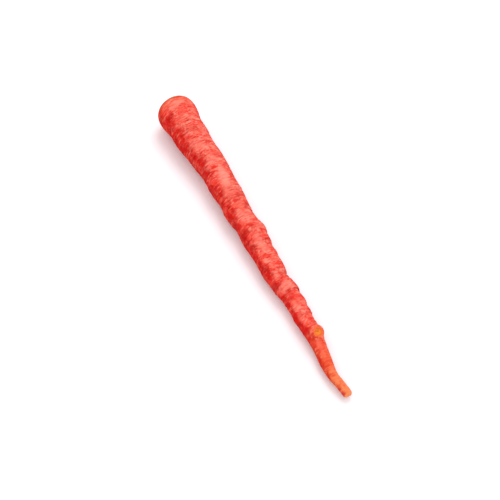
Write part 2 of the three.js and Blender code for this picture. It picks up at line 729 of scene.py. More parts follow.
@dataclass
class Carrot:
    """The whole root as one closed skin, from the middle of the crown to the middle of the broken tip."""

    form: GrownForm
    sides: int = 26
    ring_step: float = 1.39 * MM
    smoothing_levels: int = 2
    seed: int = 5
    rim_radius: float = 9.6 * MM
    lump_count: int = 90
    smaller_lumps: float = 0.17 * MM
    larger_lumps: float = 0.26 * MM
    larger_from: float = 140 * MM
    swelling_arc: float = 1.1
    disc_radius: float = 6.0 * MM
    ring_radius: float = 9.5 * MM
    disc_bumps: int = 26
    leaf_bases: int = 9
    tip_waves: int = 14
    # The angle of the side that faces the key lamp, where the skin is painted paler as a painted sheen.
    lit_angle: float = 1.3

    # The side root's stub: how far crownward of its face its middle is, how far it reaches from there, and
    # how far its skin lies under the solid's. The collar's gap is the way between two of its ridges.
    stub_shift: float = 3 * MM
    stub_reach: float = 16 * MM
    stub_sink: float = 0.12 * MM
    collar_gap: float = 1.9 * MM
    collar_height: float = 0.34 * MM

    fine_crumple: Crumple = Crumple(
        along=1.8 * MM,
        around=4.0 * MM,
        patch=9 * MM,
        depth=0.17 * MM,
        starts=(8 * MM, 16 * MM),
        fades=(105 * MM, 150 * MM),
        marking=0.7,
    )
    lumpy_crumple: Crumple = Crumple(
        along=4.2 * MM,
        around=5.0 * MM,
        patch=12 * MM,
        depth=0.45 * MM,
        starts=(95 * MM, 120 * MM),
        fades=(180 * MM, 205 * MM),
        marking=0.9,
    )

    # The trimmed crown from its middle outwards, as millimetres of depth and radius: the cut disc, the
    # sunken ring of old leaf bases and the rim.
    crown_profile: tuple[tuple[float, float], ...] = (
        (0.15, 0.7),
        (0.05, 2.2),
        (0.0, 3.7),
        (0.0, 5.0),
        (0.25, 5.75),
        (1.1, 6.25),
        (1.9, 6.7),
        (2.2, 7.4),
        (2.0, 8.2),
        (1.45, 8.9),
        (1.05, 9.45),
    )

    # Where the girth swells or falls in on one side: distance, angle, size and reach, lengths in millimetres.
    swellings: tuple[tuple[float, float, float, float], ...] = (
        (119.0, 3.1, 1.2, 6.5),
        (137.5, 3.2, -1.2, 5.5),
        (144.5, 0.6, 2.2, 7.0),
        (158.0, 0.8, 0.7, 4.0),
        (168.0, 0.5, 0.8, 4.0),
        (190.5, 0.55, -0.45, 2.2),
        (196.5, 0.7, 0.35, 3.2),
        (203.5, 0.6, 0.6, 3.4),
        (214.5, 0.65, 0.3, 4.0),
    )

    # The broken tip from its edge inwards, as millimetres short of the end and radius.
    tip_profile: tuple[tuple[float, float], ...] = (
        (0.95, 3.15),
        (0.45, 2.7),
        (0.12, 2.0),
        (0.18, 1.2),
        (0.3, 0.5),
    )

    # Worked out on the way: how far the skin is moved out, and the side root's snapped face.
    swelling: Numbers = field(init=False)
    lift: Numbers = field(init=False)
    face_middle: Vector = field(init=False)
    face_normal: Vector = field(init=False)
    face_radius: float = field(init=False)

    def rings(self) -> list[tuple[float, float]]:
        """Every ring of the cage as (distance, radius), from the crown's middle to the tip's middle."""
        crown = [(depth * MM, radius * MM) for depth, radius in self.crown_profile]
        skin = [(float(d), float(r)) for d, r in self.form.skin_stations(self.ring_step)]
        tip = [(self.form.length - short * MM, radius * MM) for short, radius in self.tip_profile]
        return crown + skin + tip

    def cage(self) -> bpy.types.Object:
        """Grows a cage ring by ring with edge extrusions, and closes its two ends.

        Returns:
            The cage, with its place in its mesh.
        """
        rings = self.rings()
        tight = (2 + math.cos(TURN / self.sides)) / 3  # how far smoothing draws a ring in
        distances = np.array([distance for distance, _ in rings])
        y, z = self.form.centre(distances)
        centres = [Vector(c) for c in zip(distances + self.form.start, y, z)]
        deselect_everything()
        bpy.ops.mesh.primitive_circle_add(
            vertices=self.sides,
            radius=rings[0][1] / tight,
            location=centres[0],
            rotation=(0, math.pi / 2, 0),
        )
        cage = bpy.context.object
        cage.name = cage.data.name = "whole_carrot"
        bpy.ops.object.transform_apply(location=True, rotation=True, scale=True)
        bpy.ops.object.mode_set(mode="EDIT")
        bpy.ops.mesh.select_all(action="SELECT")
        for last, this in zip(range(len(rings) - 1), range(1, len(rings))):
            move = centres[this] - centres[last]
            grow = rings[this][1] / rings[last][1]
            bpy.ops.mesh.extrude_edges_move(TRANSFORM_OT_translate={"value": move})
            bpy.ops.transform.resize(value=(1, grow, grow), center_override=centres[this])
        bpy.ops.mesh.edge_face_add()
        bpy.ops.mesh.select_all(action="DESELECT")
        bpy.ops.mesh.select_mode(type="EDGE")
        bpy.ops.mesh.select_non_manifold()
        bpy.ops.mesh.edge_face_add()
        bpy.ops.mesh.select_all(action="SELECT")
        bpy.ops.mesh.normals_make_consistent(inside=False)
        bpy.ops.object.mode_set(mode="OBJECT")
        return cage

    def smooth(self, cage: bpy.types.Object) -> None:
        """Subdivides the cage into the fine mesh that the detail is pressed into.

        Args:
            cage: The cage, which is the active object.
        """
        fine = cage.modifiers.new("fine", "SUBSURF")
        fine.levels = fine.render_levels = self.smoothing_levels
        bpy.ops.object.modifier_apply(modifier=fine.name)

    def build(self) -> bpy.types.Object:
        """Makes the finished mesh.

        Returns:
            The carrot, not yet dressed.
        """
        carrot = self.cage()
        self.smooth(carrot)
        skin = SkinMap(self.form, mesh_points(carrot))
        self.swell(skin)
        self.raise_side_root(skin, carrot)
        place_points(carrot, self.move_out(skin))
        count = Wrinkles(length=self.form.length).press_all(skin)
        for crumple in (self.fine_crumple, self.lumpy_crumple):
            crumple.press(skin)
        self.finish_ends(skin)
        self.press_heights(carrot, skin)
        self.store_marks(carrot, skin)
        bpy.ops.object.shade_smooth()
        triangles = sum(len(face.vertices) - 2 for face in carrot.data.polygons)
        LOG.info("whole_carrot: %d lines on %d triangles", count, triangles)
        return carrot

    def swell(self, skin: SkinMap) -> None:
        """Makes the girth uneven: small lumps everywhere, and the listed swellings.

        Args:
            skin: The skin to measure. The swelling is kept for move_out.
        """
        hand = np.random.default_rng(self.seed)
        swelling = np.zeros(len(skin.points))
        for _ in range(self.lump_count):
            place = hand.uniform(5, 290) * MM
            angle = hand.uniform(-math.pi, math.pi)
            long_reach = hand.uniform(3, 12) * MM
            round_reach = hand.uniform(0.4, 1.2)
            spread = self.larger_lumps if place > self.larger_from else self.smaller_lumps
            size = hand.normal(0, spread)
            around = hill(wrapped(skin.angle - angle), 0, round_reach)
            swelling += size * hill(skin.distance, place, long_reach) * around
        for place, angle, size, reach in self.swellings:
            around = hill(wrapped(skin.angle - angle), 0, self.swelling_arc)
            swelling += size * MM * hill(skin.distance, place * MM, reach * MM) * around
        past_crown = smoothstep(skin.distance, 2 * MM, 7 * MM)
        short_of_tip = smoothstep(skin.distance, 299.5 * MM, 296 * MM)
        self.swelling = swelling * (past_crown * short_of_tip)

    def raise_side_root(self, skin: SkinMap, carrot: bpy.types.Object) -> None:
        """Lifts the skin over the side root's stub, and blends its foot into the root.

        Args:
            skin: The skin to shape and mark.
            carrot: The mesh, for its edges.
        """
        self.face_middle, self.face_normal, self.face_radius = self.form.snapped_face()
        stub = self.face_middle.x - self.form.start - self.stub_shift
        lift = np.zeros(len(skin.points))
        for number in skin.near(stub, self.stub_reach):
            if math.sin(skin.angle[number]) < -0.2:
                continue
            reach = self.form.reach(skin.distance[number], skin.angle[number])
            lift[number] = max(0.0, reach - skin.reach[number] - self.stub_sink)
        sharp = spread_out(lift, carrot, rounds=3)
        soft = spread_out(lift, carrot, rounds=60)
        lifted = skin.centre + self.ways(skin) * (skin.reach + sharp)[:, None]
        from_face = np.linalg.norm(lifted - self.face_middle, axis=1)
        on_face = smoothstep(from_face, self.face_radius * 1.35, self.face_radius * 0.95)
        self.lift = np.maximum(soft * (1 - on_face) + sharp * on_face, sharp)

    @staticmethod
    def ways(skin: SkinMap) -> Numbers:
        """Each point's unit way out from the centre line."""
        return np.column_stack([np.zeros(len(skin.angle)), np.cos(skin.angle), np.sin(skin.angle)])

    def move_out(self, skin: SkinMap) -> Numbers:
        """Moves the skin out by the swelling and the side root's lift.

        Args:
            skin: The skin, whose reach is brought up to date.

        Returns:
            The points' new places. Those on the crown's dish stay where they were.
        """
        reach = skin.reach + self.swelling + self.lift
        moved = skin.centre + self.ways(skin) * reach[:, None]
        on_dish = (skin.distance < self.form.crown_depth) & (skin.reach < self.rim_radius)
        moved[on_dish] = skin.points[on_dish]
        skin.reach = reach
        return moved

    def finish_ends(self, skin: SkinMap) -> None:
        """Marks and shapes the crown, the tip and the side root's stub, and clears the cuts of wrinkles.

        Args:
            skin: The skin to shape and mark.
        """
        hand = np.random.default_rng(self.seed + 1)
        self.mark_crown(skin)
        self.mark_tail(skin)
        self.shape_crown(skin, hand)
        self.ripple_tip(skin, hand)
        self.finish_stub(skin)
        cuts = [skin.marks[name] for name in ("disc", "ring", "tip", "face")]
        bare = 1 - np.maximum.reduce(cuts)
        for name in ("crease", "ridge", "scar"):
            skin.mark(name)[:] *= bare
        # The side that faces the key lamp is marked for painted sheen, away from the cuts.
        lit_side = np.cos(skin.angle - self.lit_angle)
        skin.marks["bloom_and_sheen"] = smoothstep(lit_side, 0.25, 0.85) * bare

    def near_crown(self, skin: SkinMap) -> Numbers:
        """Which points are on the crown's end of the root."""
        return skin.distance < self.form.crown_depth

    def mark_crown(self, skin: SkinMap) -> None:
        """Marks the cut disc, its pith, the sunken ring and its lip, the rim and the shoulder.

        Args:
            skin: The skin to mark.
        """
        near_crown = self.near_crown(skin)
        broad, narrow = 0.22 * np.sin(3 * skin.angle + 0.6), 0.16 * np.sin(8 * skin.angle)
        uneven = (broad + narrow + 0.1 * np.sin(17 * skin.angle)) * MM
        reach = skin.reach + uneven
        disc_edge = self.disc_radius - 0.2 * MM, self.disc_radius + 0.2 * MM
        on_disc = near_crown * smoothstep(reach, *reversed(disc_edge))
        in_ring = near_crown * smoothstep(reach, *disc_edge)
        in_ring = in_ring * smoothstep(reach, self.ring_radius, self.ring_radius - 0.7 * MM)
        on_skin = (1 - on_disc) * (1 - in_ring)
        skin.marks["disc"] = on_disc
        skin.marks["pith"] = near_crown * smoothstep(reach, 2.6 * MM, 1.7 * MM)
        skin.marks["ring"] = in_ring
        skin.marks["lip"] = near_crown * hill(reach, self.ring_radius, 0.45 * MM)
        # The rim is painted brown: partly the crown's own browning, partly painted shade along the crown's
        # edge.
        skin.marks["rim"] = smoothstep(skin.distance, 2.6 * MM, 0.6 * MM) * on_skin
        skin.marks["shoulder"] = smoothstep(skin.distance, 20 * MM, 1 * MM) * on_skin

    def mark_tail(self, skin: SkinMap) -> None:
        """Marks the tail, its last stretch and the broken tip.

        Args:
            skin: The skin to mark.
        """
        end = self.form.length
        skin.marks["tail"] = smoothstep(skin.distance, 225 * MM, 275 * MM)
        skin.marks["tail_end"] = smoothstep(skin.distance, 270 * MM, 296 * MM)
        skin.marks["tip"] = smoothstep(skin.distance, end - 1.1 * MM, end - 0.3 * MM)

    def shape_crown(self, skin: SkinMap, hand: np.random.Generator) -> None:
        """Makes the cut disc and the sunken ring uneven, and sets the leaf stumps in the ring.

        Args:
            skin: The skin to shape and mark.
            hand: The hand that draws the bumps and the stumps.
        """
        near_crown = self.near_crown(skin)
        lobes = np.zeros(len(skin.points))
        for _ in range(self.disc_bumps):
            angle, size = hand.uniform(-math.pi, math.pi), hand.normal(0, 0.35) * MM
            reach = hand.uniform(1, 8.6) * MM
            offset = np.hypot(
                skin.reach * np.cos(skin.angle) - reach * math.cos(angle),
                skin.reach * np.sin(skin.angle) - reach * math.sin(angle),
            )
            lobes += size * hill(offset, 0, 1.1 * MM)
        skin.height += lobes * near_crown * (0.35 * skin.marks["disc"] + 0.6 * skin.marks["ring"])
        for number in range(self.leaf_bases):
            LeafBase(
                angle=(number + hand.uniform(-0.2, 0.2)) * TURN / self.leaf_bases,
                radius=hand.uniform(7.0, 8.2) * MM,
                half_width=hand.uniform(1.4, 2.4) * MM,
                thickness=hand.uniform(0.5, 0.75) * MM,
                height=hand.uniform(0.7, 1.7) * MM,
            ).press(skin, near_crown)

    def ripple_tip(self, skin: SkinMap, hand: np.random.Generator) -> None:
        """Makes the broken tip uneven, with waves that run round it and die out at its edge.

        Args:
            skin: The skin to shape.
            hand: The hand that draws the waves.
        """
        ripples = np.zeros(len(skin.points))
        for _ in range(self.tip_waves):
            angle, size, turns = hand.uniform(0, TURN), hand.normal(0, 0.12) * MM, hand.integers(1, 5)
            ripples += size * np.cos(turns * skin.angle + angle) * np.minimum(skin.reach / (2 * MM), 1)
        skin.height += ripples * skin.marks["tip"] * smoothstep(skin.reach, 3 * MM, 2 * MM)

    def finish_stub(self, skin: SkinMap) -> None:
        """Marks the snapped face with its core and the vee above it, and shapes the face and its collar.

        Args:
            skin: The skin to shape and mark.
        """
        normal = self.face_normal
        from_face = skin.centre + self.ways(skin) * skin.reach[:, None] - np.array(self.face_middle)
        off_plane = from_face @ np.array(normal)
        in_plane = np.linalg.norm(from_face - off_plane[:, None] * np.array(normal), axis=1)
        self.wrinkle_collar(skin, in_plane, off_plane)
        up_the_face = normal.cross(Vector((0, 0, 1)).cross(normal)).normalized()
        up = from_face @ np.array(up_the_face)
        sideways = from_face @ np.array(up_the_face.cross(normal))
        way_round = np.arctan2(up, sideways)
        uneven = 1 + 0.05 * np.sin(3 * way_round + 1) + 0.04 * np.sin(7 * way_round)
        share = in_plane / self.face_radius * uneven
        close = smoothstep(np.abs(off_plane), 1.2 * MM, 0.5 * MM)
        in_vee = smoothstep(up, -0.5 * MM, 0.2 * MM) * smoothstep(up, 3.2 * MM, 2.4 * MM)
        skin.marks["face"] = close * smoothstep(share, 1.05, 0.82)
        skin.marks["core"] = close * smoothstep(share, 0.62, 0.5)
        skin.marks["core_edge"] = close * hill(share, 0.62, 0.1)
        skin.marks["vee"] = close * in_vee * hill(np.abs(sideways) - 0.7 * up, 0.0, 0.5 * MM)
        rim = close * hill(in_plane, self.face_radius, 0.5 * MM)
        skin.height += 0.12 * MM * rim - 0.25 * MM * skin.marks["core"]

    def wrinkle_collar(self, skin: SkinMap, in_plane: Numbers, off_plane: Numbers) -> None:
        """Gathers the skin into ridges round the side root's foot, strongest towards the crown.

        Args:
            skin: The skin to shape and mark.
            in_plane: Each point's way from the axis of the snapped face.
            off_plane: Each point's height over the snapped face.
        """
        outside = in_plane - self.face_radius
        waves = np.cos(TURN * outside / self.collar_gap + 0.8 * np.sin(3 * skin.angle) + 2.4)
        crownward = smoothstep(self.face_middle.x - skin.points[:, 0], -3 * MM, 3 * MM)
        reach = smoothstep(outside, 6.5 * MM, 2.5 * MM) * smoothstep(outside, 0.2 * MM, 1.0 * MM)
        share = reach * smoothstep(np.abs(off_plane), 6 * MM, 4 * MM) * (0.3 + 0.7 * crownward)
        share *= 0.65 + 0.35 * np.sin(9 * skin.angle + skin.distance / (1.3 * MM))
        skin.height += self.collar_height * waves * share
        everywhere = np.arange(len(share))
        # The ridges' mask paints a pale highlight on them, and the furrows' mask painted shade.
        skin.raise_mark("ridge", everywhere, smoothstep(waves, 0.1, 0.9) * share)
        skin.raise_mark("crease", everywhere, 0.7 * smoothstep(-waves, 0.2, 0.9) * share)

    def press_heights(self, carrot: bpy.types.Object, skin: SkinMap) -> None:
        """Moves each point along its normal by its height, and presses the underside flat on the floor.

        Args:
            carrot: The mesh to shape.
            skin: The skin, for its heights.
        """
        normals = np.zeros(len(skin.points) * 3, np.float32)
        carrot.data.vertices.foreach_get("normal", normals)
        moved = mesh_points(carrot) + normals.reshape(-1, 3) * skin.height[:, None]
        moved[:, 2] = np.maximum(moved[:, 2], 0.0)
        moved[:, 0] = np.clip(moved[:, 0], self.form.start, self.form.start + self.form.length)
        place_points(carrot, moved)

    @staticmethod
    def store_marks(carrot: bpy.types.Object, skin: SkinMap) -> None:
        """Stores every mask as an attribute of the mesh.

        Args:
            carrot: The mesh to store them on.
            skin: The skin, for its masks.
        """
        for name, mask in skin.marks.items():
            layer = carrot.data.attributes.new(name, "FLOAT", "POINT")
            layer.data.foreach_set("value", mask.astype(np.float32))


def mesh_points(thing: bpy.types.Object) -> Numbers:
    """Reads the points of a mesh.

    Args:
        thing: The object that holds the mesh.

    Returns:
        Rows of x, y and z.
    """
    flat = np.zeros(len(thing.data.vertices) * 3, np.float32)
    thing.data.vertices.foreach_get("co", flat)
    return flat.reshape(-1, 3).astype(float)


def place_points(thing: bpy.types.Object, points: Numbers) -> None:
    """Puts the points of a mesh at new places."""
    thing.data.vertices.foreach_set("co", points.astype(np.float32).ravel())
    thing.data.update()


def spread_out(values: Numbers, thing: bpy.types.Object, rounds: int) -> Numbers:
    """Evens out a value over a mesh, each point with those it shares an edge with.

    Args:
        values: One value for each point.
        thing: The object that holds the mesh.
        rounds: How many times each point is averaged with its neighbours.

    Returns:
        The evened values.
    """
    flat = np.zeros(len(thing.data.edges) * 2, np.int32)
    thing.data.edges.foreach_get("vertices", flat)
    one, other = flat.reshape(-1, 2).T
    count = np.bincount(one, minlength=len(values)) + np.bincount(other, minlength=len(values))
    for _ in range(rounds):
        total = np.bincount(one, values[other], len(values)) + np.bincount(other, values[one], len(values))
        values = 0.5 * values + 0.5 * total / count
    return values


# ---------------------------------------------------------------- shader building


@dataclass
class Value:
    """A number in a shader. Arithmetic on it adds Math nodes."""

    board: Board
    socket: Socket

    def _maths(self, operation: str, left: Number, right: Number) -> Value:
        """Adds a Math node.

        Args:
            operation: What it does.
            left: Its first number.
            right: Its second number.

        Returns:
            What comes out of it.
        """
        node = self.board.node("ShaderNodeMath", {"operation": operation}, {0: left, 1: right})
        return Value(self.board, node.outputs[0])

    def __add__(self, other: Number) -> Value:
        """Self plus other."""
        return self._maths("ADD", self, other)

    def __radd__(self, other: Number) -> Value:
        """Other plus self."""
        return self._maths("ADD", other, self)

    def __sub__(self, other: Number) -> Value:
        """Self minus other."""
        return self._maths("SUBTRACT", self, other)

    def __rsub__(self, other: Number) -> Value:
        """Other minus self."""
        return self._maths("SUBTRACT", other, self)

    def __mul__(self, other: Number) -> Value:
        """Self times other."""
        return self._maths("MULTIPLY", self, other)

    def __rmul__(self, other: Number) -> Value:
        """Other times self."""
        return self._maths("MULTIPLY", other, self)


Number = Union[Value, float]
Paint = Union[Colour, Socket]


@dataclass
class Board:
    """The node tree of a material or of the surround, with a short way to add each kind of node.

    A Mix node's sockets share their names, so those for colours go by number.
    """

    owner: Union[bpy.types.Material, bpy.types.World]
    mix_share: int = 0
    mix_first: int = 6
    mix_second: int = 7
    mix_result: int = 2

    def __post_init__(self) -> None:
        """Clears the tree."""
        self.owner.use_nodes = True
        self.tree = self.owner.node_tree
        self.tree.nodes.clear()

    def node(self, kind: str, settings: dict[str, Any], inputs: dict[Any, Any]) -> bpy.types.Node:
        """Adds a node.

        Args:
            kind: The node's type.
            settings: Its settings by name, set before its sockets.
            inputs: What goes into its sockets, by name or number: a value, a socket or plain numbers.

        Returns:
            The node.
        """
        node = self.tree.nodes.new(kind)
        for name, setting in settings.items():
            setattr(node, name, setting)
        for name, given in inputs.items():
            if isinstance(given, Value):
                given = given.socket
            if isinstance(given, Socket):
                self.tree.links.new(given, node.inputs[name])
            else:
                node.inputs[name].default_value = given
        return node

    def mark(self, name: str) -> Value:
        """One of the mesh's masks."""
        return Value(self, self.node("ShaderNodeAttribute", {"attribute_name": name}, {}).outputs["Fac"])

    def places(self, stretch: Triple = (1, 1, 1), shift: Triple = (0, 0, 0)) -> Socket:
        """Gives the places on the piece that a pattern reads.

        Args:
            stretch: How many times finer the pattern is along each axis.
            shift: How far the pattern is moved first, so that two patterns differ.

        Returns:
            Object coordinates, shifted and then stretched.
        """
        coordinates = self.node("ShaderNodeTexCoord", {}, {}).outputs["Object"]
        shifted = self.node("ShaderNodeVectorMath", {"operation": "ADD"}, {0: coordinates, 1: shift})
        inputs = {0: shifted.outputs[0], 1: stretch}
        return self.node("ShaderNodeVectorMath", {"operation": "MULTIPLY"}, inputs).outputs[0]

    def noise(self, places: Socket, scale: float, detail: float, rough: float, warp: float = 0.0) -> Value:
        """Adds cloudy noise.

        Args:
            places: Where it is read.
            scale: How many clouds there are to a metre.
            detail: How many finer layers it has.
            rough: How strong the finer layers are.
            warp: How much the clouds are bent.

        Returns:
            The noise, from about 0.2 to 0.8.
        """
        inputs = {
            "Vector": places,
            "Scale": scale,
            "Detail": detail,
            "Roughness": rough,
            "Distortion": warp,
        }
        return Value(self, self.node("ShaderNodeTexNoise", {}, inputs).outputs[0])

    def between(self, value: Value, low: float, high: float, bottom: float = 0.0, top: float = 1.0) -> Value:
        """Eases a value.

        Args:
            value: The value to ease.
            low: Where the rise starts.
            high: Where it ends. It may be below low, for a fall.
            bottom: What comes out at low.
            top: What comes out at high.

        Returns:
            The eased value.
        """
        settings = {"interpolation_type": "SMOOTHSTEP", "clamp": True}
        inputs = {"Value": value, "From Min": low, "From Max": high, "To Min": bottom, "To Max": top}
        return Value(self, self.node("ShaderNodeMapRange", settings, inputs).outputs[0])

    def mix(self, first: Paint, second: Paint, share: Number) -> Socket:
        """Mixes two colours, by a share of the second."""
        inputs = {self.mix_share: share, self.mix_first: first, self.mix_second: second}
        return self.node("ShaderNodeMix", {"data_type": "RGBA"}, inputs).outputs[self.mix_result]


def from_bytes(red: int, green: int, blue: int) -> Colour:
    """Turns a colour as it looks on a screen into the linear numbers that a shader takes.

    Args:
        red: Its red, from 0 to 255.
        green: Its green.
        blue: Its blue.

    Returns:
        The linear colour, opaque.
    """
    shares = [channel / 255 for channel in (red, green, blue)]
    linear = [share / 12.92 if share <= 0.04045 else ((share + 0.055) / 1.055) ** 2.4 for share in shares]
    return (*linear, 1.0)


@dataclass(frozen=True)
class CarrotFinish:
    """Washed red carrot skin, a little waxy, with the cut and broken surfaces that show its flesh."""

    deep_red: Colour = from_bytes(208, 12, 5)
    bright_red: Colour = from_bytes(230, 38, 24)
    # The coral and the pale bloom, and their tail colours, are painted sheen on the side that faces the lamp,
    # over a little real bloom.
    coral_sheen: Colour = from_bytes(244, 100, 80)
    tail_orange: Colour = from_bytes(218, 66, 26)
    bloom_and_sheen: Colour = from_bytes(250, 138, 118)
    tail_bloom_and_sheen: Colour = from_bytes(240, 130, 88)
    tail_coral_sheen: Colour = from_bytes(232, 94, 58)
    scar: Colour = from_bytes(252, 150, 116)
    # The dark red laid in the creases is painted shade; it also colours the dark flecks.
    groove_shade: Colour = from_bytes(176, 14, 6)
    shoulder_orange: Colour = from_bytes(234, 96, 54)
    shoulder_olive: Colour = from_bytes(150, 88, 38)
    # The rim's brown is partly painted shade along the crown's edge.
    rim_brown_shade: Colour = from_bytes(122, 62, 30)
    disc_tan: Colour = from_bytes(206, 158, 92)
    disc_brown: Colour = from_bytes(140, 88, 42)
    pith_cream: Colour = from_bytes(226, 190, 122)
    lip_tan: Colour = from_bytes(206, 140, 84)
    ring_brown: Colour = from_bytes(62, 30, 16)
    ring_rust: Colour = from_bytes(128, 52, 24)
    stalk_straw: Colour = from_bytes(186, 150, 90)
    face_orange: Colour = from_bytes(232, 104, 50)
    face_pale: Colour = from_bytes(244, 128, 70)
    face_edge: Colour = from_bytes(208, 86, 34)
    core_yellow: Colour = from_bytes(238, 134, 48)
    core_olive: Colour = from_bytes(190, 92, 24)
    tip_orange: Colour = from_bytes(246, 148, 92)
    roughness: float = 0.3
    shine: float = 0.1
    grain_depth: float = 0.3 * MM
    glow: float = 0.1
    glow_depth: float = 2 * MM
    glow_spread: Triple = (1.0, 0.25, 0.12)

    def material(self) -> bpy.types.Material:
        """Makes the material.

        Returns:
            The material, which reads the carrot's masks.
        """
        material = bpy.data.materials.new("carrot skin and flesh")
        board = Board(material)
        colour = self.cut_colours(board, SkinPaint(board, self).colour())
        fine = board.noise(board.places((1, 0.35, 0.35)), scale=2600, detail=3.0, rough=0.6)
        pores = board.noise(board.places(), scale=900, detail=2.0, rough=0.5)
        cut = board.mark("disc") + board.mark("ring") + board.mark("tip") + board.mark("face")
        worn = 0.25 * board.mark("crease") + 0.12 * pores + 0.25 * cut
        rough = self.roughness + worn - 0.04 * board.mark("scar")
        grain = {"Strength": 0.45, "Distance": self.grain_depth, "Height": fine + 0.6 * pores}
        bump = board.node("ShaderNodeBump", {}, grain)
        shader = board.node(
            "ShaderNodeBsdfPrincipled",
            {},
            {
                "Base Color": colour,
                "Roughness": rough,
                "IOR": 1.45,
                "Specular IOR Level": self.shine,
                "Subsurface Weight": self.glow,
                "Subsurface Radius": self.glow_spread,
                "Subsurface Scale": self.glow_depth,
                "Normal": bump.outputs[0],
            },
        )
        board.node("ShaderNodeOutputMaterial", {}, {"Surface": shader.outputs[0]})
        return material

    def cut_colours(self, board: Board, colour: Paint) -> Paint:
        """Lays the flesh's colours over the skin's.

        Args:
            board: The material's nodes.
            colour: The skin's colour.

        Returns:
            The colour of the whole carrot.
        """
        fibres = board.noise(board.places(), scale=1100, detail=4.0, rough=0.65)
        clouds = board.noise(board.places(), scale=420, detail=3.0, rough=0.6)
        colour = self.crown_colours(board, colour, fibres, clouds)
        colour = self.stub_colours(board, colour, fibres)
        return board.mix(colour, self.tip_orange, board.mark("tip") * 0.85)

    def crown_colours(self, board: Board, colour: Paint, fibres: Value, clouds: Value) -> Paint:
        """Lays on the crown's pale lip, its dark ring with the leaf stumps, and its tan cut disc.

        Args:
            board: The material's nodes.
            colour: The colour so far.
            fibres: Fine noise.
            clouds: Broad noise.

        Returns:
            The new colour.
        """
        lip = board.mark("lip") * board.between(clouds, 0.35, 0.55, 0.3, 0.9)
        colour = board.mix(colour, self.lip_tan, lip)
        bark = board.mix(self.ring_brown, self.ring_rust, board.between(clouds, 0.45, 0.62))
        colour = board.mix(colour, bark, board.mark("ring") * 0.95)
        stalk = board.mix(self.stalk_straw, self.disc_brown, board.between(fibres, 0.42, 0.62))
        colour = board.mix(colour, stalk, board.mark("leaf") * 0.9)
        disc = board.mix(self.disc_tan, self.disc_brown, board.between(fibres, 0.42, 0.7, 0, 0.55))
        disc = board.mix(disc, self.disc_brown, board.between(clouds, 0.5, 0.62, 0, 0.5))
        disc = board.mix(disc, self.pith_cream, board.mark("pith") * 0.6)
        return board.mix(colour, disc, board.mark("disc"))

    def stub_colours(self, board: Board, colour: Paint, fibres: Value) -> Paint:
        """Lays on the snapped side root's orange face and its yellower core.

        Args:
            board: The material's nodes.
            colour: The colour so far.
            fibres: Fine noise.

        Returns:
            The new colour.
        """
        flesh = board.mix(self.face_orange, self.face_pale, board.between(fibres, 0.42, 0.6, 0, 0.8))
        flesh = board.mix(flesh, self.face_edge, board.mark("core_edge") * 0.7)
        colour = board.mix(colour, flesh, board.mark("face"))
        core = board.mix(self.core_yellow, self.core_olive, board.between(fibres, 0.48, 0.62, 0, 0.45))
        core = board.mix(core, self.core_olive, board.mark("vee") * 0.9)
        return board.mix(colour, core, board.mark("core"))


